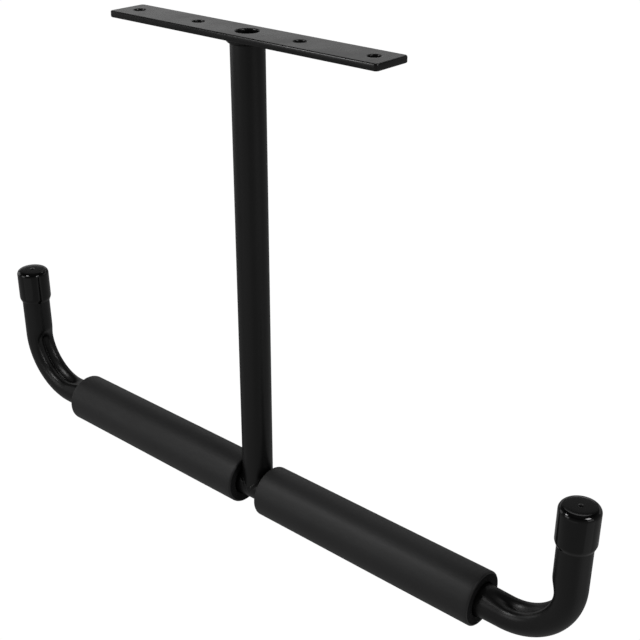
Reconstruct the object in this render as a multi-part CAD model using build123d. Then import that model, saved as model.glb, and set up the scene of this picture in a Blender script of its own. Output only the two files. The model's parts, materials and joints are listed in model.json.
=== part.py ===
from build123d import *
import math
import os

# A ceiling-mounted pull-up bar. A drilled flat plate screws up against a joist, a round post
# hangs from it, and one bent tube crosses the foot of the post as the bar. Each half of the bar
# carries a foam grip, and each upturned end a push-on vinyl cap.
#
# Frame: origin at the centre of the plate's top face, +X along the bar, +Z up into the ceiling.
# All sizes are in millimetres.

# Mounting plate
PLATE_LENGTH = 256.0
PLATE_WIDTH = 34.0
PLATE_THICKNESS = 5.0
PLATE_CORNER_RADIUS = 3.0
PLATE_EDGE_RADIUS = 0.9
SCREW_HOLE_DIAMETER = 9.0
OUTER_SCREW_SPACING = 225.0
INNER_SCREW_SPACING = 98.0
VENT_HOLE_DIAMETER = 17.0

# Round steel tube, the same stock for the post and the bar
TUBE_DIAMETER = 25.4
TUBE_WALL = 2.0
POST_DROP = 375.0            # plate underside to bar axis
COPE_TIP_TRIM = 3.0          # how far above the bar axis the post's thin tips are ground off
COPE_GAP = 0.02              # between the bar and what is welded to it

# Cross-bar
HOOK_SPAN = 584.0            # between the axes of the two upturned ends
BEND_RADIUS = 47.0           # of the tube's centre line
HOOK_HEIGHT = 112.0          # bar axis to the cut end of the tube
OUTER_FOLD = (0.72, 31.0)    # depth as a share of the radius, and spread around the tube in degrees
BORE_FOLD = (0.85, 44.0)     # the same for the bore: the wall gathers thicker inside the bend
CRUSH_BEFORE_BEND = 20.0     # where the fold begins, ahead of the bend
CRUSH_AFTER_BEND = 8.0       # where it ends, past the bend
CRUSH_RISE = 36.0            # length over which the fold deepens
CRUSH_FALL = 17.0            # length over which it closes again, more abruptly
FOLD_WIDENING = 8.0          # extra spread, in degrees, at the deep end
SECTIONS_PER_BEND = 27
POINTS_PER_SECTION = 32

# Weld beads
PLATE_WELD_LEG = 3.2
SADDLE_WELD_RADIUS = 2.0

# Foam grips
FOAM_DIAMETER = 43.5
FOAM_LENGTH = 210.5
FOAM_BORE_DIAMETER = 26.0
FOAM_EDGE_RADIUS = 1.6
FOAM_MOUTH_DIAMETER = 29.6   # the bore opens out at each cut end
FOAM_MOUTH_DEPTH = 4.5
LEFT_FOAM_INNER_END = -13.2
RIGHT_FOAM_INNER_END = 14.7

# Vinyl caps
CAP_DIAMETER = 29.2
CAP_BORE_DIAMETER = 25.7
CAP_LENGTH = 31.4
CAP_TOP_THICKNESS = 2.4
CAP_SHOULDER_RADIUS = 4.0
CAP_LIP_DIAMETER = 27.0
CAP_LIP_TAPER = 4.0
CAP_NUB_RADIUS = 1.5
CAP_NUB_HEIGHT = 0.6

TUBE_RADIUS = TUBE_DIAMETER / 2
BAR_Z = -PLATE_THICKNESS - POST_DROP
HOOK_X = HOOK_SPAN / 2
BEND_START_X = HOOK_X - BEND_RADIUS
BEND_LENGTH = BEND_RADIUS * math.pi / 2


def mounting_plate():
    """Flat bar with four screw holes and one vent hole over the post's bore."""
    slab = Box(PLATE_LENGTH, PLATE_WIDTH, PLATE_THICKNESS, align=(Align.CENTER, Align.CENTER, Align.MAX))
    slab = fillet(slab.edges().filter_by(Axis.Z), PLATE_CORNER_RADIUS)
    rims = slab.faces().sort_by(Axis.Z)
    slab = fillet(rims[-1].edges() + rims[0].edges(), PLATE_EDGE_RADIUS)
    for spacing in (OUTER_SCREW_SPACING, INNER_SCREW_SPACING):
        for side in (-1, 1):
            slab -= hole(side * spacing / 2, SCREW_HOLE_DIAMETER)
    return slab - hole(0, VENT_HOLE_DIAMETER)


def hole(x, diameter):
    """A cutter straight through the plate at x."""
    return Pos(x, 0, -PLATE_THICKNESS / 2) * Cylinder(diameter / 2, 3 * PLATE_THICKNESS)


def post_tube():
    """The hanging post, coped at its foot to sit over the bar."""
    height = POST_DROP - COPE_TIP_TRIM
    middle = -PLATE_THICKNESS - height / 2
    tube = Pos(0, 0, middle) * (Cylinder(TUBE_RADIUS, height) - Cylinder(TUBE_RADIUS - TUBE_WALL, height))
    return tube - bar_rod()


def bar_rod():
    """A solid rod on the bar's axis, for coping what sits on the bar."""
    return Pos(0, 0, BAR_Z) * Rot(0, 90, 0) * Cylinder(TUBE_RADIUS + COPE_GAP, 4 * TUBE_RADIUS)


def crush_share(distance):
    """Depth of the fold, 0 to 1, at a distance along the centre line from the bend's start."""
    rise = (distance + CRUSH_BEFORE_BEND) / CRUSH_RISE
    fall = (BEND_LENGTH + CRUSH_AFTER_BEND - distance) / CRUSH_FALL
    return eased(min(rise, fall))


def eased(share):
    """A smooth step from 0 to 1."""
    share = max(0.0, min(1.0, share))
    return share * share * (3 - 2 * share)


def folded_radius(radius, fold, distance, angle):
    """Radius at an angle, in degrees, from the inner side of the bend."""
    depth, spread = fold
    spread += FOLD_WIDENING * eased(distance / BEND_LENGTH)
    return radius * (1 - depth * crush_share(distance) * math.exp(-((angle / spread) ** 2)))


def bend_frame(distance):
    """Centre point and inner direction of the right-hand bend at a distance along its path."""
    turn = max(0.0, min(BEND_LENGTH, distance)) / BEND_RADIUS
    before = min(0.0, distance)
    after = max(0.0, distance - BEND_LENGTH)
    x = BEND_START_X + before + BEND_RADIUS * math.sin(turn)
    z = BAR_Z + BEND_RADIUS * (1 - math.cos(turn)) + after
    return Vector(x, 0, z), Vector(-math.sin(turn), 0, math.cos(turn))


def bend_section(distance, radius, fold):
    """A cross-section face of the tube, or of its bore, at a distance along the bend."""
    centre, inward = bend_frame(distance)
    sideways = Vector(0, 1, 0)
    points = []
    for index in range(POINTS_PER_SECTION):
        angle = 360 * index / POINTS_PER_SECTION
        reach = folded_radius(radius, fold, distance, min(angle, 360 - angle))
        turn = math.radians(angle)
        points.append(centre + inward * (reach * math.cos(turn)) + sideways * (reach * math.sin(turn)))
    return make_face(Spline(*points, periodic=True).edges())


def half_bar(radius, fold):
    """Right half of the bar as a solid: straight run, crushed bend and upright."""
    first = -CRUSH_BEFORE_BEND
    last = BEND_LENGTH + CRUSH_AFTER_BEND
    step = (last - first) / (SECTIONS_PER_BEND - 1)
    places = [first + step * index for index in range(SECTIONS_PER_BEND)]
    sections = [bend_section(place, radius, fold) for place in places]
    bend = loft(sections)
    run = extrude(sections[0], BEND_START_X + first, dir=(-1, 0, 0))
    rise = extrude(sections[-1], HOOK_HEIGHT - BEND_RADIUS - CRUSH_AFTER_BEND, dir=(0, 0, 1))
    return run + bend + rise


def cross_bar():
    """One tube bent up at both ends, its bends folded in along the inside."""
    right = half_bar(TUBE_RADIUS, OUTER_FOLD) - half_bar(TUBE_RADIUS - TUBE_WALL, BORE_FOLD)
    return right + mirror(right, about=Plane.YZ)


def weld_plate_to_post():
    """Fillet weld round the top of the post, under the plate."""
    top = -PLATE_THICKNESS
    toe = TUBE_RADIUS + PLATE_WELD_LEG
    outline = Polyline((TUBE_RADIUS, 0, top), (toe, 0, top)) + Polyline(
        (TUBE_RADIUS, 0, top - PLATE_WELD_LEG), (TUBE_RADIUS, 0, top)
    )
    sag = 0.62 * PLATE_WELD_LEG
    outline += ThreePointArc(
        (toe, 0, top), (TUBE_RADIUS + sag, 0, top - sag), (TUBE_RADIUS, 0, top - PLATE_WELD_LEG)
    )
    return revolve(make_face(outline.edges()), Axis.Z)


def weld_post_to_bar():
    """Bead that follows the two half-ellipses where the post meets the bar."""
    bead = None
    for side in (-1, 1):
        plane = Plane(origin=(0, 0, BAR_Z), x_dir=(0, 1, 0), z_dir=(1, 0, -side))
        seam = plane * EllipticalCenterArc((0, 0), TUBE_RADIUS, TUBE_RADIUS * math.sqrt(2), arc_size=180)
        profile = Plane(origin=seam @ 0, z_dir=seam % 0) * Circle(SADDLE_WELD_RADIUS)
        half = sweep(profile, path=seam)
        bead = half if bead is None else bead + half
    height = 3 * TUBE_RADIUS
    post = Pos(0, 0, BAR_Z + height / 2) * Cylinder(TUBE_RADIUS, height)
    return bead - post - bar_rod()


def foam_sleeve(inner_end, side):
    """Foam tube on the bar, with softened rims and a bore that opens at each cut end."""
    outer = FOAM_DIAMETER / 2
    bore = FOAM_BORE_DIAMETER / 2
    mouth = FOAM_MOUTH_DIAMETER / 2
    edge = FOAM_EDGE_RADIUS
    far = FOAM_LENGTH
    depth = FOAM_MOUTH_DEPTH
    diagonal = edge * (1 - math.sqrt(0.5))
    lines = [
        Line((0, mouth), (0, outer - edge)),
        ThreePointArc((0, outer - edge), (diagonal, outer - diagonal), (edge, outer)),
        Line((edge, outer), (far - edge, outer)),
        ThreePointArc((far - edge, outer), (far - diagonal, outer - diagonal), (far, outer - edge)),
        Line((far, outer - edge), (far, mouth)),
        Line((far, mouth), (far - depth, bore)),
        Line((far - depth, bore), (depth, bore)),
        Line((depth, bore), (0, mouth)),
    ]
    sleeve = revolve(make_face(lines), Axis.X)
    sleeve = Pos(abs(inner_end), 0, BAR_Z) * sleeve
    return sleeve if side > 0 else mirror(sleeve, about=Plane.YZ)


def end_cap(side):
    """Dip-moulded cap: short tapered lip, rounded shoulder and flat top with a drip nub."""
    top = BAR_Z + HOOK_HEIGHT + CAP_TOP_THICKNESS
    bottom = top - CAP_LENGTH
    outer = CAP_DIAMETER / 2
    bore = CAP_BORE_DIAMETER / 2
    lip = CAP_LIP_DIAMETER / 2
    shoulder = CAP_SHOULDER_RADIUS
    diagonal = shoulder * (1 - math.sqrt(0.5))
    ceiling = BAR_Z + HOOK_HEIGHT
    nub_sphere = (CAP_NUB_RADIUS ** 2 + CAP_NUB_HEIGHT ** 2) / (2 * CAP_NUB_HEIGHT)
    nub_half_turn = math.asin(CAP_NUB_RADIUS / nub_sphere) / 2
    nub_flank = (
        nub_sphere * math.sin(nub_half_turn),
        top + CAP_NUB_HEIGHT - nub_sphere * (1 - math.cos(nub_half_turn)),
    )
    lines = [
        Line((0, ceiling), (bore, ceiling)),
        Line((bore, ceiling), (bore, bottom)),
        Line((bore, bottom), (lip, bottom)),
        Line((lip, bottom), (outer, bottom + CAP_LIP_TAPER)),
        Line((outer, bottom + CAP_LIP_TAPER), (outer, top - shoulder)),
        ThreePointArc((outer, top - shoulder), (outer - diagonal, top - diagonal), (outer - shoulder, top)),
        Line((outer - shoulder, top), (CAP_NUB_RADIUS, top)),
        ThreePointArc((CAP_NUB_RADIUS, top), nub_flank, (0, top + CAP_NUB_HEIGHT)),
        Line((0, top + CAP_NUB_HEIGHT), (0, ceiling)),
    ]
    profile = make_face([Plane.XZ * line for line in lines])
    return Pos(side * HOOK_X, 0, 0) * revolve(profile, Axis.Z)


def main():
    os.makedirs("parts", exist_ok=True)
    nodes = {
        "mounting_plate": mounting_plate(),
        "post_tube": post_tube(),
        "cross_bar": cross_bar(),
        "weld_plate_to_post": weld_plate_to_post(),
        "weld_post_to_bar": weld_post_to_bar(),
        "foam_sleeve_left": foam_sleeve(LEFT_FOAM_INNER_END, -1),
        "foam_sleeve_right": foam_sleeve(RIGHT_FOAM_INNER_END, 1),
        "end_cap_left": end_cap(-1),
        "end_cap_right": end_cap(1),
    }
    for name, shape in nodes.items():
        export_step(shape, f"parts/{name}.step")


main()
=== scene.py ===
import bmesh
import bpy
import json
import math
from mathutils import Matrix, Vector, noise


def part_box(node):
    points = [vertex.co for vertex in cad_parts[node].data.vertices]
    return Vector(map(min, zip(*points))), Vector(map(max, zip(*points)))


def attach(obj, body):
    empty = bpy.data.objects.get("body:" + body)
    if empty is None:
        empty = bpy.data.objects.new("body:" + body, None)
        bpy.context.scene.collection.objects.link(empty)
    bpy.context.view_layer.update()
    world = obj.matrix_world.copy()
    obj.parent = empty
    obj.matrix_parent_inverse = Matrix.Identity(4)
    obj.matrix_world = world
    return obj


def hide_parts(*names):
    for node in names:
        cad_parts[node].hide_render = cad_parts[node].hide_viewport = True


# The looks of a ceiling-mounted pull-up bar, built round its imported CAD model.
# Metres, +X along the bar, +Z up, origin at the centre of the plate's top face.

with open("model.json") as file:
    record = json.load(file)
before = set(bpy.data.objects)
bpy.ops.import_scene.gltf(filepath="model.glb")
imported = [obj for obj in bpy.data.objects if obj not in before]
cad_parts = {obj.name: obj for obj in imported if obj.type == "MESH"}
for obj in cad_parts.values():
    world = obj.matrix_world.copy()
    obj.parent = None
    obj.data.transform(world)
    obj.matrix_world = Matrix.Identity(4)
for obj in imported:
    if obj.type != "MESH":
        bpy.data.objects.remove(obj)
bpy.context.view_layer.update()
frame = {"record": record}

MM = 0.001

# Sizes that the frame's boxes don't give, the same as the CAD model's
TUBE_WALL = 2.0 * MM
BEND_RADIUS = 47.0 * MM
CRUSH_BEFORE_BEND = 20.0 * MM  # where the fold begins, ahead of the bend
CRUSH_AFTER_BEND = 8.0 * MM    # where it ends, past the bend
CRUSH_RISE = 36.0 * MM         # length over which the fold deepens
CRUSH_FALL = 17.0 * MM         # length over which it closes again
OUTER_FOLD = (0.72, 31.0)      # depth as a share of the radius, and spread round the tube in degrees
BORE_FOLD = (0.85, 44.0)       # the same for the bore: the wall gathers thicker inside the bend
FOLD_WIDENING = 8.0            # extra spread, in degrees, at the deep end
PLATE_CORNER_RADIUS = 3.0 * MM
SCREW_HOLE_RADIUS = 4.5 * MM
VENT_HOLE_RADIUS = 8.5 * MM
FOAM_EDGE = 1.6 * MM
FOAM_BORE_RADIUS = 13.0 * MM
FOAM_MOUTH_DEPTH = 4.5 * MM
CAP_BORE_RADIUS = 12.85 * MM
CAP_LIP_RADIUS = 13.5 * MM
CAP_LIP_TAPER = 4.0 * MM
CAP_NUB_RADIUS = 1.5 * MM
CAP_NUB_HEIGHT = 0.6 * MM

# Sizes of the looks' own: softened edges, a closer fit at the foam's mouth, and the cap's top
TUBE_CUT_EDGE = 0.35 * MM
PLATE_EDGE = 1.1 * MM
VENT_HOLE_EDGE = 0.9 * MM
SCREW_HOLE_EDGE = 0.8 * MM
PLATE_FACE_MARGIN = 0.6 * MM   # flat strip beside each rounded edge
FOAM_MOUTH_RADIUS = 13.9 * MM
CAP_LIP_ROLL = 0.3 * MM
CAP_FLOOR_RIM = 0.6 * MM       # how far the bore's floor is below the tube's end, at the wall
CAP_FLOOR_MIDDLE = 0.1 * MM    # how far it is above the tube's end, in the middle
CAP_SHOULDER_REACH = 3.9 * MM  # inwards
CAP_SHOULDER_DROP = 4.1 * MM   # downwards
CAP_SHOULDER_TURN = 86.0       # degrees of the shoulder's curve before the dome takes over

# Points round a ring, and steps along a curve
BAR_RING = 144
BEND_STEPS = 130
POST_RING = 192
PLATE_CORNER_STEPS = 8
VENT_HOLE_STEPS = 64
SCREW_HOLE_STEPS = 48
PLATE_WELD_STATIONS = 480
PLATE_WELD_FACE_STEPS = 9
SADDLE_STATIONS = 720
SADDLE_FACE_STEPS = 14
FOAM_RING = 144
FOAM_STEPS = 60
CAP_RING = 128
CAP_SKIRT_STEPS = 10
CAP_SHOULDER_STEPS = 16
BACKDROP_RING = 48

# Sizes from the frame
PLATE_LOW, PLATE_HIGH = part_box("mounting_plate")
POST_LOW, POST_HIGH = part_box("post_tube")
FOAM_LOW, FOAM_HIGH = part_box("foam_sleeve_right")
CAP_LOW, CAP_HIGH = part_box("end_cap_right")
TUBE_RADIUS = (POST_HIGH[0] - POST_LOW[0]) / 2
TUBE_BORE = TUBE_RADIUS - TUBE_WALL
BAR_Z = (FOAM_LOW[2] + FOAM_HIGH[2]) / 2
HOOK_X = (CAP_LOW[0] + CAP_HIGH[0]) / 2
HOOK_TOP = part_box("cross_bar")[1][2]
PLATE_UNDERSIDE = PLATE_LOW[2]
BEND_START_X = HOOK_X - BEND_RADIUS
BEND_LENGTH = BEND_RADIUS * math.pi / 2


# ---------------------------------------------------------------- mesh helpers

def make_piece(name, vertices, faces, materials, face_slots=None, sharp_degrees=40.0):
    """A smooth-shaded mesh object in the row frame."""
    mesh = bpy.data.meshes.new(name)
    mesh.from_pydata([tuple(v) for v in vertices], [], faces)
    for material in materials:
        mesh.materials.append(material)
    if face_slots:
        mesh.polygons.foreach_set("material_index", face_slots)
    shape = bmesh.new()
    shape.from_mesh(mesh)
    bmesh.ops.recalc_face_normals(shape, faces=shape.faces)
    shape.to_mesh(mesh)
    shape.free()
    mesh.polygons.foreach_set("use_smooth", [True] * len(mesh.polygons))
    mesh.set_sharp_from_angle(angle=math.radians(sharp_degrees))
    piece = bpy.data.objects.new(name, mesh)
    bpy.context.scene.collection.objects.link(piece)
    return piece


def add_ring(vertices, rings, points):
    """Adds a ring's points to the vertices, and their numbers to the rings."""
    start = len(vertices)
    vertices.extend(points)
    rings.append(list(range(start, len(vertices))))


def bridge(rings, closed=False):
    """Quads between rings of equal length, given as lists of vertex numbers."""
    faces = []
    pairs = list(zip(rings, rings[1:]))
    if closed:
        pairs.append((rings[-1], rings[0]))
    for near, far in pairs:
        count = len(near)
        for i in range(count):
            j = (i + 1) % count
            faces.append((near[i], near[j], far[j], far[i]))
    return faces


def turns(count, offset=0.0):
    """Evenly spaced angles round a full turn, in radians."""
    return [2 * math.pi * (i + offset) / count for i in range(count)]


def quarter_turn(steps):
    """Angles from 0 to 90 degrees in equal steps, in radians."""
    return [math.radians(90 * i / steps) for i in range(steps + 1)]


def arc(centre, radius, start, end, steps):
    """Points of a circular arc in the profile plane, from start to end degrees."""
    points = []
    for i in range(steps + 1):
        angle = math.radians(start + (end - start) * i / steps)
        points.append((centre[0] + radius * math.cos(angle), centre[1] + radius * math.sin(angle)))
    return points


def spun(profile, count, x=0.0):
    """Vertices and rings of a profile of (radius, height) spun about an upright axis at x."""
    vertices, rings = [], []
    for radius, z in profile:
        ring = [(x + radius * math.cos(turn), radius * math.sin(turn), z) for turn in turns(count)]
        add_ring(vertices, rings, ring)
    return vertices, rings


def spaced(start, end, steps):
    """Evenly spaced numbers from start to end, both ends left out."""
    return [start + (end - start) * i / steps for i in range(1, steps)]


def eased(share):
    """A smooth step from 0 to 1."""
    share = max(0.0, min(1.0, share))
    return share * share * (3 - 2 * share)


def ring_noise(turn, spread, phase):
    """Noise that joins up round a ring, -1 to 1; a wider spread makes it finer."""
    return noise.noise(Vector((math.cos(turn) * spread, math.sin(turn) * spread, phase)))


# ---------------------------------------------------------------- materials

# Darkest and lightest colour of each surface, linear
COAT_COLOURS = ((0.0016, 0.0016, 0.0017), (0.0026, 0.0026, 0.0027))
FOAM_SKIN_COLOURS = ((0.0225, 0.0225, 0.0228), (0.0265, 0.0265, 0.0269))
# The sawn foam's own dark tone, plus painted shade: the darkest colour goes in each open cell's pit, the
# lightest on its rim
FOAM_CUT_TONE_AND_PIT_SHADE = ((0.0040, 0.0040, 0.0042), (0.0100, 0.0100, 0.0104))
VINYL_COLOURS = ((0.0006, 0.0006, 0.0006), (0.0010, 0.0010, 0.0010))

# Heights of the surfaces' bumps
PEEL_BUMP = 0.03 * MM
GRIT_BUMP = 0.006 * MM
DRAW_LINE_BUMP = 0.03 * MM
PORE_BUMP = 0.08 * MM
CELL_BUMP = 0.22 * MM
GRAIN_BUMP = 0.12 * MM
VINYL_BUMP = 0.02 * MM


def new_material(name):
    """A material, its nodes, its links, its shader and the place on the object."""
    material = bpy.data.materials.new(name)
    material.use_nodes = True
    nodes = material.node_tree.nodes
    place = nodes.new("ShaderNodeTexCoord").outputs["Object"]
    return material, nodes, material.node_tree.links, nodes["Principled BSDF"], place


def noise_node(nodes, links, place, scale, detail, roughness=0.5):
    node = nodes.new("ShaderNodeTexNoise")
    node.inputs["Scale"].default_value = scale
    node.inputs["Detail"].default_value = detail
    node.inputs["Roughness"].default_value = roughness
    links.new(place, node.inputs["Vector"])
    return node.outputs["Fac"]


def number_ramp(nodes, links, value, low, high, start=0.3, end=0.7):
    """Maps a 0..1 value onto two numbers."""
    node = nodes.new("ShaderNodeMapRange")
    node.inputs["From Min"].default_value = start
    node.inputs["From Max"].default_value = end
    node.inputs["To Min"].default_value = low
    node.inputs["To Max"].default_value = high
    links.new(value, node.inputs["Value"])
    return node.outputs["Result"]


def colour_ramp(nodes, links, value, colours, start=0.3, end=0.7):
    """Maps a 0..1 value onto two colours."""
    node = nodes.new("ShaderNodeValToRGB")
    for stop, position, colour in zip(node.color_ramp.elements, (start, end), colours):
        stop.position = position
        stop.color = (*colour, 1)
    links.new(value, node.inputs["Fac"])
    return node.outputs["Color"]


def bump(nodes, links, height, distance, under=None):
    node = nodes.new("ShaderNodeBump")
    node.inputs["Strength"].default_value = 1.0
    node.inputs["Distance"].default_value = distance
    links.new(height, node.inputs["Height"])
    if under is not None:
        links.new(under, node.inputs["Normal"])
    return node.outputs["Normal"]


def powder_coat(name, smoothest, roughest):
    """Satin black powder coat: a fine orange peel, with a faint change in gloss."""
    material, nodes, links, shader, place = new_material(name)
    cloud = noise_node(nodes, links, place, scale=35.0, detail=3.0)
    peel = noise_node(nodes, links, place, scale=520.0, detail=2.0)
    grit = noise_node(nodes, links, place, scale=2600.0, detail=2.0)
    links.new(colour_ramp(nodes, links, cloud, COAT_COLOURS), shader.inputs["Base Color"])
    links.new(number_ramp(nodes, links, cloud, smoothest, roughest), shader.inputs["Roughness"])
    shader.inputs["Specular IOR Level"].default_value = 0.5
    coarse = bump(nodes, links, peel, PEEL_BUMP)
    links.new(bump(nodes, links, grit, GRIT_BUMP, under=coarse), shader.inputs["Normal"])
    return material


def foam_skin():
    """The smooth outer skin of extruded foam: fine pores and long faint draw lines."""
    material, nodes, links, shader, place = new_material("foam_skin")
    stretch = nodes.new("ShaderNodeMapping")
    stretch.inputs["Scale"].default_value = (0.04, 1.0, 1.0)
    links.new(place, stretch.inputs["Vector"])
    cloud = noise_node(nodes, links, place, scale=28.0, detail=4.0)
    lines = noise_node(nodes, links, stretch.outputs["Vector"], scale=420.0, detail=2.0)
    pores = noise_node(nodes, links, place, scale=1500.0, detail=3.0, roughness=0.65)
    links.new(colour_ramp(nodes, links, cloud, FOAM_SKIN_COLOURS), shader.inputs["Base Color"])
    links.new(number_ramp(nodes, links, pores, low=0.44, high=0.54), shader.inputs["Roughness"])
    shader.inputs["Specular IOR Level"].default_value = 0.42
    shader.inputs["Sheen Weight"].default_value = 0.04
    shader.inputs["Sheen Roughness"].default_value = 0.6
    drawn = bump(nodes, links, lines, DRAW_LINE_BUMP)
    links.new(bump(nodes, links, pores, PORE_BUMP, under=drawn), shader.inputs["Normal"])
    return material


def foam_cut():
    """The sawn end of the foam, with its cells open; each cell's pit is painted darker as painted shade."""
    material, nodes, links, shader, place = new_material("foam_cut_face")
    voronoi = nodes.new("ShaderNodeTexVoronoi")
    voronoi.inputs["Scale"].default_value = 1500.0
    links.new(place, voronoi.inputs["Vector"])
    cells = voronoi.outputs["Distance"]
    grain = noise_node(nodes, links, place, scale=700.0, detail=4.0, roughness=0.6)
    # Painted shade: the colour darkens towards each cell's middle, where the bump below sinks the pit
    colour = colour_ramp(nodes, links, cells, FOAM_CUT_TONE_AND_PIT_SHADE, start=0.1, end=0.6)
    links.new(colour, shader.inputs["Base Color"])
    links.new(number_ramp(nodes, links, grain, low=0.85, high=0.98), shader.inputs["Roughness"])
    shader.inputs["Specular IOR Level"].default_value = 0.25
    pits = bump(nodes, links, cells, CELL_BUMP)
    links.new(bump(nodes, links, grain, GRAIN_BUMP, under=pits), shader.inputs["Normal"])
    return material


def vinyl():
    """Glossy dip-moulded vinyl, a little wavy, with faint scuffs."""
    material, nodes, links, shader, place = new_material("vinyl_gloss")
    wave = noise_node(nodes, links, place, scale=110.0, detail=2.0)
    scuff = noise_node(nodes, links, place, scale=900.0, detail=5.0, roughness=0.7)
    links.new(colour_ramp(nodes, links, wave, VINYL_COLOURS), shader.inputs["Base Color"])
    links.new(number_ramp(nodes, links, scuff, low=0.08, high=0.14), shader.inputs["Roughness"])
    shader.inputs["Specular IOR Level"].default_value = 0.5
    links.new(bump(nodes, links, wave, VINYL_BUMP), shader.inputs["Normal"])
    return material


# ---------------------------------------------------------------- the bent cross-bar

RUN_SHARES = (0.75, 0.5, 0.3, 0.15)  # rings on the straight run, as shares of it from the bend back
BEND_MARGIN = 4 * MM           # how far the close rings go past the fold, at each end
BELOW_TIP = 8 * MM             # from the tube's tip back to the last ring of its wall


def folded_radius(radius, fold, distance, angle):
    """Radius at an angle, in degrees, from the inner side of the bend."""
    rise = (distance + CRUSH_BEFORE_BEND) / CRUSH_RISE
    fall = (BEND_LENGTH + CRUSH_AFTER_BEND - distance) / CRUSH_FALL
    depth, spread = fold
    spread += FOLD_WIDENING * eased(distance / BEND_LENGTH)
    return radius * (1 - depth * eased(min(rise, fall)) * math.exp(-((angle / spread) ** 2)))


def bar_station(side, distance):
    """Centre and inner direction of the bar at a distance along it from a bend's start."""
    turn = max(0.0, min(BEND_LENGTH, distance)) / BEND_RADIUS
    before = min(0.0, distance)
    after = max(0.0, distance - BEND_LENGTH)
    x = BEND_START_X + before + BEND_RADIUS * math.sin(turn)
    z = BAR_Z + BEND_RADIUS * (1 - math.cos(turn)) + after
    return Vector((side * x, 0, z)), Vector((-side * math.sin(turn), 0, math.cos(turn)))


def bar_ring(side, distance, radius, fold):
    """Points round the tube, or round its bore, at a distance from a bend's start."""
    centre, inward = bar_station(side, distance)
    ring = []
    for i in range(BAR_RING):
        angle = 360 * i / BAR_RING
        reach = folded_radius(radius, fold, distance, min(angle, 360 - angle))
        turn = math.radians(angle)
        ring.append(centre + inward * (reach * math.cos(turn)) + Vector((0, reach * math.sin(turn), 0)))
    return ring


def bar_walk(tip):
    """(side, distance) of each ring from the left tip to the right one."""
    first = -CRUSH_BEFORE_BEND - BEND_MARGIN
    last = BEND_LENGTH + CRUSH_AFTER_BEND + BEND_MARGIN
    half = [-BEND_START_X * share for share in RUN_SHARES]
    half += [first + (last - first) * i / BEND_STEPS for i in range(BEND_STEPS + 1)]
    half.append(tip - BELOW_TIP)
    return [(-1, d) for d in reversed(half)] + [(1, -BEND_START_X)] + [(1, d) for d in half]


def cross_bar(material):
    """One tube, bent up at both ends, with its bore and its two cut ends."""
    tip = HOOK_TOP - BAR_Z - BEND_RADIUS + BEND_LENGTH
    walk = bar_walk(tip)
    rounding = []
    for turn in quarter_turn(3):
        rounding.append((TUBE_CUT_EDGE * (1 - math.cos(turn)), TUBE_CUT_EDGE * (1 - math.sin(turn))))
    vertices, rings = [], []

    def add_tip(side, radius, out, fold, steps):
        """The rounding of a cut end; out is 1 on the outer wall and -1 on the bore."""
        for back, dip in steps:
            add_ring(vertices, rings, bar_ring(side, tip - back, radius - out * dip, fold))

    def add_wall(stations, radius, fold):
        for side, distance in stations:
            add_ring(vertices, rings, bar_ring(side, distance, radius, fold))

    add_tip(-1, TUBE_RADIUS, 1, OUTER_FOLD, rounding)
    add_wall(walk, TUBE_RADIUS, OUTER_FOLD)
    add_tip(1, TUBE_RADIUS, 1, OUTER_FOLD, rounding[::-1])
    add_tip(1, TUBE_BORE, -1, BORE_FOLD, rounding)
    add_wall(walk[::-1], TUBE_BORE, BORE_FOLD)
    add_tip(-1, TUBE_BORE, -1, BORE_FOLD, rounding[::-1])
    faces = bridge(rings, closed=True)
    piece = make_piece("bar_tube", vertices, faces, [material], sharp_degrees=60.0)
    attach(piece, "frame")
    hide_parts("cross_bar")


# ---------------------------------------------------------------- the post and the plate

POST_LEVELS = (0.0, 0.02, 0.25, 0.5, 0.75, 0.93, 1.0)  # shares of the way from the plate to the foot


def saddle_height(y):
    """Height above the bar's axis of the post's coped foot."""
    trim = POST_LOW[2] - BAR_Z
    return max(trim, math.sqrt(max(0.0, TUBE_RADIUS ** 2 - y * y)))


def post_tube(material):
    """Hollow post with a coped foot."""
    vertices, rings = [], []
    for radius, shares in ((TUBE_RADIUS, POST_LEVELS), (TUBE_BORE, POST_LEVELS[::-1])):
        for share in shares:
            ring = []
            for turn in turns(POST_RING):
                x, y = radius * math.cos(turn), radius * math.sin(turn)
                foot = BAR_Z + saddle_height(y)
                ring.append((x, y, PLATE_UNDERSIDE + (foot - PLATE_UNDERSIDE) * share))
            add_ring(vertices, rings, ring)
    piece = make_piece("post_hanger_tube", vertices, bridge(rings, closed=True), [material])
    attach(piece, "frame")
    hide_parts("post_tube")


def rounded_outline(half_x, half_y, radius, steps):
    """Anticlockwise outline of a rounded rectangle, as (point, outward direction)."""
    outline = []
    for quarter, (sx, sy) in enumerate(((1, 1), (-1, 1), (-1, -1), (1, -1))):
        for i in range(steps + 1):
            turn = math.radians(90 * quarter + 90 * i / steps)
            out = (math.cos(turn), math.sin(turn))
            centre = (sx * (half_x - radius), sy * (half_y - radius))
            outline.append(((centre[0] + radius * out[0], centre[1] + radius * out[1]), out))
    return outline


def circle_outline(x, radius, steps):
    """A hole's outline, as (point, direction out of the metal)."""
    outline = []
    for turn in turns(steps):
        out = (math.cos(-turn), math.sin(-turn))
        outline.append(((x + radius * out[0], radius * out[1]), (-out[0], -out[1])))
    return outline


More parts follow.
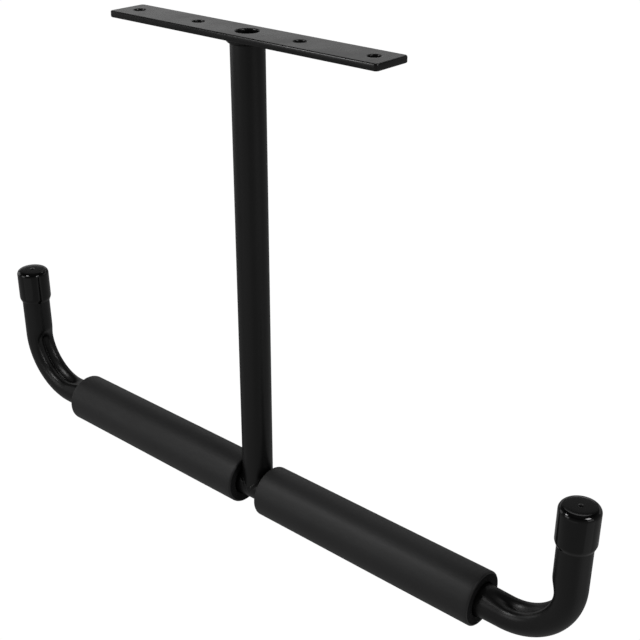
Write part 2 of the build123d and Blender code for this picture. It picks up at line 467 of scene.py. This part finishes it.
def plate_outlines():
    """The plate's outline and those of its holes, each with the size of its rounded edge."""
    half_x = (PLATE_HIGH[0] - PLATE_LOW[0]) / 2
    half_y = (PLATE_HIGH[1] - PLATE_LOW[1]) / 2
    mounts = {m["name"]: m for m in frame["record"]["mounts"]}
    outlines = [(rounded_outline(half_x, half_y, PLATE_CORNER_RADIUS, PLATE_CORNER_STEPS), PLATE_EDGE)]
    outlines.append((circle_outline(0.0, VENT_HOLE_RADIUS, VENT_HOLE_STEPS), VENT_HOLE_EDGE))
    for name in ("outer_screws", "inner_screws"):
        reach = mounts[name]["dims"]["spacing_x_mm"] * MM / 2
        for x in (-reach, reach):
            outlines.append((circle_outline(x, SCREW_HOLE_RADIUS, SCREW_HOLE_STEPS), SCREW_HOLE_EDGE))
    return outlines


def edge_rows(top, bottom, edge):
    """(height, inset) of the rings down a plate edge that is rounded above and below."""
    flat = edge + PLATE_FACE_MARGIN
    quarter = [(edge * math.sin(turn), edge - edge * math.cos(turn)) for turn in quarter_turn(4)]
    upper = [(top - edge + rise, inset) for rise, inset in reversed(quarter)]
    lower = [(bottom + edge - rise, inset) for rise, inset in quarter]
    return [(top, flat)] + upper + lower + [(bottom, flat)]


def edge_wall(shape, outline, rows):
    """Builds the wall along an outline; gives the edges of its first and last rings."""
    rings = []
    for z, inset in rows:
        ring = [shape.verts.new((p[0] - inset * out[0], p[1] - inset * out[1], z)) for p, out in outline]
        rings.append(ring)
    for near, far in zip(rings, rings[1:]):
        for i in range(len(near)):
            j = (i + 1) % len(near)
            shape.faces.new((near[i], near[j], far[j], far[i]))
    loops = []
    for ring in (rings[0], rings[-1]):
        loops.append([shape.edges.get((ring[i], ring[(i + 1) % len(ring)])) for i in range(len(ring))])
    return loops


def mounting_plate(material):
    """Flat drilled plate with rolled edges and paint-softened hole rims."""
    top, bottom = PLATE_HIGH[2], PLATE_LOW[2]
    shape = bmesh.new()
    top_edges, bottom_edges = [], []
    for outline, edge in plate_outlines():
        upper, lower = edge_wall(shape, outline, edge_rows(top, bottom, edge))
        top_edges += upper
        bottom_edges += lower
    for edges, up in ((top_edges, 1), (bottom_edges, -1)):
        bmesh.ops.triangle_fill(shape, use_beauty=True, edges=edges, normal=(0, 0, up))
    bmesh.ops.recalc_face_normals(shape, faces=shape.faces)
    mesh = bpy.data.meshes.new("drilled_plate")
    shape.to_mesh(mesh)
    shape.free()
    mesh.materials.append(material)
    mesh.polygons.foreach_set("use_smooth", [True] * len(mesh.polygons))
    piece = bpy.data.objects.new("drilled_plate", mesh)
    bpy.context.scene.collection.objects.link(piece)
    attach(piece, "frame")
    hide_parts("mounting_plate")


# ---------------------------------------------------------------- welds

RIPPLE_DEPTH = 0.07            # of a bead's ripples, as a share of its leg
PLATE_WELD_RIPPLES = 44
PLATE_WELD_SINK = 0.4 * MM     # how far the bead's root lies inside plate and post
PLATE_WELD_BULGE = 0.112       # how far its face bulges, as a share of its leg
SADDLE_RIPPLES = 46
SADDLE_RADIUS = 5.0 * MM       # of the bead's hollow face
SADDLE_LEAST_LEG = 1.8 * MM
SADDLE_SINK = 0.25 * MM        # how far the bead's toes lie inside post and bar
SADDLE_ROOT = 1.2 * MM         # how far its root does
SADDLE_FULLNESS = 0.88 * MM    # how far the face's control point stands out of the corner
SADDLE_SWING = 0.495 * MM      # how far the ripples move that point
SEAM_STEP = 0.004              # half the turn, in radians, over which a seam's direction is taken


def ripple(turn, count, phase):
    """A bead's height at an angle: overlapping scales with an uneven pitch, about -1 to 1."""
    wobble = 0.6 * ring_noise(turn, 1.7, phase)
    step = (turn / (2 * math.pi) * count + wobble) % 1.0
    unevenness = 0.8 * ring_noise(turn, 6, phase + 4)
    return 1 - 2 * step ** 1.6 + unevenness


def weld_plate_to_post(material):
    """Rippled fillet weld between the plate's underside and the post."""
    low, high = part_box("weld_plate_to_post")
    leg = (high[0] - low[0]) / 2 - TUBE_RADIUS
    vertices, rings = [], []
    for turn in turns(PLATE_WELD_STATIONS):
        size = leg * (1 - RIPPLE_DEPTH + RIPPLE_DEPTH * ripple(turn, PLATE_WELD_RIPPLES, 1.0))
        section = [(TUBE_RADIUS - PLATE_WELD_SINK, PLATE_UNDERSIDE + PLATE_WELD_SINK)]
        for k in range(PLATE_WELD_FACE_STEPS + 1):
            share = k / PLATE_WELD_FACE_STEPS
            bulge = PLATE_WELD_BULGE * size * math.sin(math.pi * share)
            radius = TUBE_RADIUS + size * (1 - share) + bulge
            section.append((radius, PLATE_UNDERSIDE - size * share - bulge))
        add_ring(vertices, rings, [(r * math.cos(turn), r * math.sin(turn), z) for r, z in section])
    faces = bridge(rings, closed=True)
    piece = make_piece("weld_bead_under_plate", vertices, faces, [material], sharp_degrees=70.0)
    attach(piece, "frame")
    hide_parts("weld_plate_to_post")


def saddle_seam(turn):
    """Where the post's surface meets the bar's, at an angle round the post."""
    height = BAR_Z + TUBE_RADIUS * abs(math.cos(turn))
    return Vector((TUBE_RADIUS * math.cos(turn), TUBE_RADIUS * math.sin(turn), height))


def saddle_section(turn):
    """The bead's section at an angle round the post: its root, then its hollow face."""
    corner = saddle_seam(turn)
    along = (saddle_seam(turn + SEAM_STEP) - saddle_seam(turn - SEAM_STEP)).normalized()
    from_post = Vector((math.cos(turn), math.sin(turn), 0))
    from_bar = Vector((0, math.sin(turn), abs(math.cos(turn))))
    out = (from_post + from_bar).normalized()
    opening = math.acos(max(-1.0, min(1.0, from_post.dot(from_bar))))
    height = ripple(turn, SADDLE_RIPPLES, 9.0)
    leg = max(SADDLE_LEAST_LEG, SADDLE_RADIUS * math.tan(opening / 2)) * (1 + RIPPLE_DEPTH * height)
    up = along.cross(from_post).normalized()
    up = up if up.z > 0 else -up
    down = along.cross(from_bar).normalized()
    down = down if down.dot(from_post) > 0 or down.z < -0.5 else -down
    on_post = corner + up * leg - from_post * SADDLE_SINK
    on_bar = corner + down * leg - from_bar * SADDLE_SINK
    middle = corner + out * (SADDLE_FULLNESS + SADDLE_SWING * height)
    section = [corner - out * SADDLE_ROOT]
    for k in range(SADDLE_FACE_STEPS + 1):
        share = k / SADDLE_FACE_STEPS
        bend = middle * (2 * share * (1 - share))
        section.append(on_post * (1 - share) ** 2 + bend + on_bar * share ** 2)
    return section


def weld_post_to_bar(material):
    """Concave bead in the saddle between post and bar, thin at the front and back tips."""
    vertices, rings = [], []
    for turn in turns(SADDLE_STATIONS, offset=0.5):
        add_ring(vertices, rings, saddle_section(turn))
    faces = bridge(rings, closed=True)
    piece = make_piece("weld_bead_on_bar", vertices, faces, [material], sharp_degrees=70.0)
    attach(piece, "frame")
    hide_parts("weld_post_to_bar")


# ---------------------------------------------------------------- foam grips

FOAM_UNEVENNESS = 0.12 * MM    # of the skin, in long shallow swells
SWELLS_ALONG = 9               # noise cells in a metre of the sleeve
SWELLS_ROUND = 0.9             # spread of the noise round it
FOAM_SHRINK = 0.1 * MM         # keeps the uneven skin inside the CAD sleeve
FOAM_SKIN_FROM = FOAM_MOUTH_RADIUS + 0.5 * MM  # what lies further out is uneven
SAW_WAVE = 0.15 * MM           # of the sawn ends
SKIN, CUT = 0, 1               # material slots


def foam_profile(length, outer):
    """(distance, radius, slot) of the rings round the sleeve's whole skin, ends and bore."""
    rim = []
    for turn in quarter_turn(5):
        rim.append((FOAM_EDGE - FOAM_EDGE * math.cos(turn), outer - FOAM_EDGE + FOAM_EDGE * math.sin(turn)))
    end = []
    for share in (0.75, 0.5, 0.25, 0.0):
        end.append((0.0, FOAM_MOUTH_RADIUS + (outer - FOAM_EDGE - FOAM_MOUTH_RADIUS) * share))
    for share in (0.25, 0.5, 0.75, 1.0):
        radius = FOAM_MOUTH_RADIUS + (FOAM_BORE_RADIUS - FOAM_MOUTH_RADIUS) * share ** 0.6
        end.append((FOAM_MOUTH_DEPTH * share, radius))
    rows = [(x, radius, SKIN) for x, radius in rim]
    rows += [(x, outer, SKIN) for x in spaced(FOAM_EDGE, length - FOAM_EDGE, FOAM_STEPS)]
    rows += [(length - x, radius, SKIN) for x, radius in reversed(rim)]
    rows += [(length - x, radius, CUT) for x, radius in end]
    rows += [(x, radius, CUT) for x, radius in reversed(end)]
    return rows


def foam_ring(row, low_x, length, side):
    """Points of one ring of the sleeve, with the skin's and the saw's unevenness."""
    x, radius, slot = row
    at_end = slot == CUT or x < FOAM_EDGE or x > length - FOAM_EDGE
    ring = []
    for turn in turns(FOAM_RING):
        reach = radius
        if radius > FOAM_SKIN_FROM:
            across, up = math.cos(turn) * SWELLS_ROUND, math.sin(turn) * SWELLS_ROUND
            probe = Vector((x * SWELLS_ALONG, across, up + 5 * side))
            reach += FOAM_UNEVENNESS * noise.noise(probe) - FOAM_SHRINK
        wave = SAW_WAVE * ring_noise(turn, 1.4, 7 * side + x) if at_end else 0.0
        ring.append((low_x + x + wave, reach * math.cos(turn), BAR_Z + reach * math.sin(turn)))
    return ring


def foam_sleeve(side, skin, cut):
    """Foam tube: soft sawn rims, a bore that opens at each end, and a faintly uneven skin."""
    name = "foam_sleeve_right" if side > 0 else "foam_sleeve_left"
    low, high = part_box(name)
    length = high[0] - low[0]
    rows = foam_profile(length, (high[2] - low[2]) / 2)
    vertices, rings, slots = [], [], []
    for row, following in zip(rows, rows[1:] + rows[:1]):
        add_ring(vertices, rings, foam_ring(row, low[0], length, side))
        slots += [max(row[2], following[2])] * len(rings[-1])
    faces = bridge(rings, closed=True)
    name_of_piece = name.replace("sleeve", "grip")
    piece = make_piece(name_of_piece, vertices, faces, [skin, cut], slots, sharp_degrees=50.0)
    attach(piece, "grip_right" if side > 0 else "grip_left")
    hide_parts(name)


# ---------------------------------------------------------------- vinyl caps

def cap_profile(outer, top, bottom):
    """(radius, height) from the bore's floor down, round the lip, up the skirt and over the top."""
    profile = [(CAP_BORE_RADIUS, HOOK_TOP - CAP_FLOOR_RIM), (CAP_BORE_RADIUS, bottom + CAP_LIP_ROLL)]
    profile += arc((CAP_LIP_RADIUS - CAP_LIP_ROLL, bottom + CAP_LIP_ROLL), CAP_LIP_ROLL, 200, 360, 6)[1:]
    for share in spaced(0, 1, CAP_SKIRT_STEPS):
        ease = math.sin(share * math.pi / 2) ** 1.2
        rise = CAP_LIP_ROLL + (CAP_LIP_TAPER - CAP_LIP_ROLL) * share
        profile.append((CAP_LIP_RADIUS + (outer - CAP_LIP_RADIUS) * ease, bottom + rise))
    # The dome starts at the shoulder's slope, so the two join smoothly
    last_turn = math.radians(CAP_SHOULDER_TURN)
    rim = outer - CAP_SHOULDER_REACH * (1 - math.cos(last_turn))
    dome = rim * CAP_SHOULDER_DROP / (4 * CAP_SHOULDER_REACH * math.tan(last_turn))
    springing = top - dome - CAP_SHOULDER_DROP * math.sin(last_turn)
    skirt_top = bottom + CAP_LIP_TAPER
    profile += [(outer, skirt_top), (outer, (skirt_top + springing) / 2)]
    for i in range(CAP_SHOULDER_STEPS + 1):
        turn = last_turn * i / CAP_SHOULDER_STEPS
        radius = outer - CAP_SHOULDER_REACH * (1 - math.cos(turn))
        profile.append((radius, springing + CAP_SHOULDER_DROP * math.sin(turn)))
    for share in (0.9, 0.8, 0.7, 0.6, 0.5, 0.4, 0.3):
        profile.append((rim * share, top - dome * share ** 4))
    for share in (1.9, 1.45, 1.15, 0.85, 0.5, 0.2):
        nub = CAP_NUB_HEIGHT * math.exp(-((share / 0.8) ** 2.4))
        profile.append((CAP_NUB_RADIUS * share, top + nub))
    return profile


def end_cap(side, material):
    """Dip-moulded cap: rolled lip, tapered skirt, round shoulder, faint dome and drip nub."""
    name = "end_cap_right" if side > 0 else "end_cap_left"
    low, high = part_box(name)
    x = (low[0] + high[0]) / 2
    profile = cap_profile((high[0] - low[0]) / 2, high[2] - CAP_NUB_HEIGHT, low[2])
    vertices, rings = spun(profile, CAP_RING, x)
    faces = bridge(rings)
    pole = len(vertices)
    vertices.append((x, 0, high[2]))
    inner_pole = len(vertices)
    vertices.append((x, 0, HOOK_TOP + CAP_FLOOR_MIDDLE))
    for i in range(CAP_RING):
        j = (i + 1) % CAP_RING
        faces.append((rings[-1][i], rings[-1][j], pole))
        faces.append((rings[0][j], rings[0][i], inner_pole))
    name_of_piece = name.replace("end", "vinyl")
    piece = make_piece(name_of_piece, vertices, faces, [material], sharp_degrees=50.0)
    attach(piece, "cap_right" if side > 0 else "cap_left")
    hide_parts(name)


# ---------------------------------------------------------------- studio

CAMERA_PLACE = Vector((0.55657, -0.57396, 0.16934))
CAMERA_HEADING = 40.409
CAMERA_TILT_DOWN = 26.301
CAMERA_ROLL = 0.260
CAMERA_LENS = 63.659           # mm on a 36 mm sensor

LIT_CENTRE = Vector((0, 0, -0.25))
SOFTBOXES = [                  # name, azimuth, elevation, distance, width, height, radiance
    ("key_left", 236.4, 46.0, 0.84, 0.18, 0.20, 14.0),
    ("key_right", 358.5, 41.0, 1.34, 0.38, 0.40, 9.5),
    ("bank_right", 356.0, 15.0, 2.2, 1.0, 0.8, 0.70),
    ("bank_left", 240.0, 14.0, 2.2, 0.9, 0.9, 1.45),
    ("side_left", 190.0, 10.0, 2.2, 1.2, 1.2, 0.75),
    ("back_left", 144.5, 13.0, 5.0, 4.0, 1.1, 0.49),
    ("back_mid", 120.0, 30.0, 2.2, 2.0, 0.8, 0.10),
    ("back_rim", 107.0, 25.5, 2.2, 0.5, 0.14, 1.3),
    ("back_high", 112.0, 48.0, 2.2, 0.8, 0.30, 0.9),
    ("back_right", 72.0, 16.0, 2.2, 1.4, 0.8, 0.30),
    ("low_right", 2.0, -28.0, 2.2, 1.3, 1.7, 0.10),
    ("low_front", 270.0, -20.0, 2.2, 2.4, 0.9, 0.11),
]
# The room's brightness against height: (sine of the elevation, strength)
ROOM_GLOW = [(-0.5, 0.21), (-0.1, 0.19), (0.2, 0.12), (0.5, 0.09), (0.8, 0.03), (1.0, 0.08)]
ROOM_RADIUS = 6.0
FLOOR_Z = -1.2
ROOM_WHITE = 1.02              # just over full white, so that the backdrop renders pure white


def add_camera():
    data = bpy.data.cameras.new("studio_camera")
    data.lens = CAMERA_LENS
    data.sensor_width = 36.0
    data.clip_start = 0.01
    camera = bpy.data.objects.new("studio_camera", data)
    bpy.context.scene.collection.objects.link(camera)
    turn = Matrix.Rotation(math.radians(CAMERA_HEADING), 4, "Z")
    turn @= Matrix.Rotation(math.radians(90 - CAMERA_TILT_DOWN), 4, "X")
    turn @= Matrix.Rotation(math.radians(CAMERA_ROLL), 4, "Z")
    camera.matrix_world = Matrix.Translation(CAMERA_PLACE) @ turn
    bpy.context.scene.camera = camera


def softbox(name, azimuth, elevation, distance, width, height, radiance):
    """A rectangular light aimed at the object; azimuth 0 is +X, 90 is +Y, and angles are in degrees."""
    turn, climb = math.radians(azimuth), math.radians(elevation)
    out = Vector((math.cos(turn) * math.cos(climb), math.sin(turn) * math.cos(climb), math.sin(climb)))
    data = bpy.data.lights.new(name, "AREA")
    data.shape = "RECTANGLE"
    data.size, data.size_y = width, height
    data.energy = radiance * math.pi * width * height
    light = bpy.data.objects.new(name, data)
    light.location = LIT_CENTRE + out * distance
    light.rotation_euler = (-out).to_track_quat("-Z", "Y").to_euler()
    light.visible_camera = False
    bpy.context.scene.collection.objects.link(light)


def backdrop_white():
    material = bpy.data.materials.new("studio_white")
    material.use_nodes = True
    nodes, links = material.node_tree.nodes, material.node_tree.links
    nodes.clear()
    glow = nodes.new("ShaderNodeEmission")
    glow.inputs["Color"].default_value = (1, 1, 1, 1)
    glow.inputs["Strength"].default_value = ROOM_WHITE
    links.new(glow.outputs["Emission"], nodes.new("ShaderNodeOutputMaterial").inputs["Surface"])
    return material


def backdrop():
    """A floor that curves up into a white wall and dome all round; only the camera sees it."""
    cove = 0.2 * ROOM_RADIUS
    profile = [(ROOM_RADIUS * share, FLOOR_Z) for share in (0.25, 0.6, 0.8)]
    profile += arc((ROOM_RADIUS - cove, FLOOR_Z + cove), cove, -90, -10, 4)[1:]
    profile += arc((0.0, FLOOR_Z + cove), ROOM_RADIUS, 0, 80, 8)
    vertices, rings = spun(profile, BACKDROP_RING)
    faces = bridge(rings) + [tuple(rings[0]), tuple(rings[-1])]
    floor = make_piece("studio_floor", vertices, faces, [backdrop_white()])
    floor.visible_diffuse = False
    floor.visible_glossy = False
    floor.visible_transmission = False
    floor.visible_volume_scatter = False
    floor.visible_shadow = False


def room_glow():
    """Soft light from all round, graded by height."""
    world = bpy.data.worlds.new("studio_world")
    world.use_nodes = True
    nodes, links = world.node_tree.nodes, world.node_tree.links
    look = nodes.new("ShaderNodeTexCoord").outputs["Generated"]
    axes = nodes.new("ShaderNodeSeparateXYZ")
    links.new(look, axes.inputs["Vector"])
    height = nodes.new("ShaderNodeMapRange")
    height.inputs["From Min"].default_value = -1.0
    links.new(axes.outputs["Z"], height.inputs["Value"])
    glow = nodes.new("ShaderNodeValToRGB")
    stops = glow.color_ramp.elements
    while len(stops) < len(ROOM_GLOW):
        stops.new(0.5)
    for stop, (level, strength) in zip(stops, ROOM_GLOW):
        stop.position = (level + 1) / 2
        stop.color = (strength, strength, strength, 1)
    links.new(height.outputs["Result"], glow.inputs["Fac"])
    links.new(glow.outputs["Color"], nodes["Background"].inputs["Color"])
    bpy.context.scene.world = world


def studio():
    bpy.context.scene.view_settings.view_transform = "Standard"
    room_glow()
    backdrop()
    for box in SOFTBOXES:
        softbox(*box)


# The coat is a little smoother on the plate and the lower weld than on the tubes and the upper weld
smooth_coat = powder_coat("powder_coat_flat", 0.24, 0.30)
tube_coat = powder_coat("powder_coat_tube", 0.32, 0.39)
skin = foam_skin()
cut = foam_cut()
gloss = vinyl()
add_camera()
mounting_plate(smooth_coat)
weld_plate_to_post(tube_coat)
post_tube(tube_coat)
weld_post_to_bar(smooth_coat)
cross_bar(tube_coat)
for side in (-1, 1):
    foam_sleeve(side, skin, cut)
    end_cap(side, gloss)
studio()
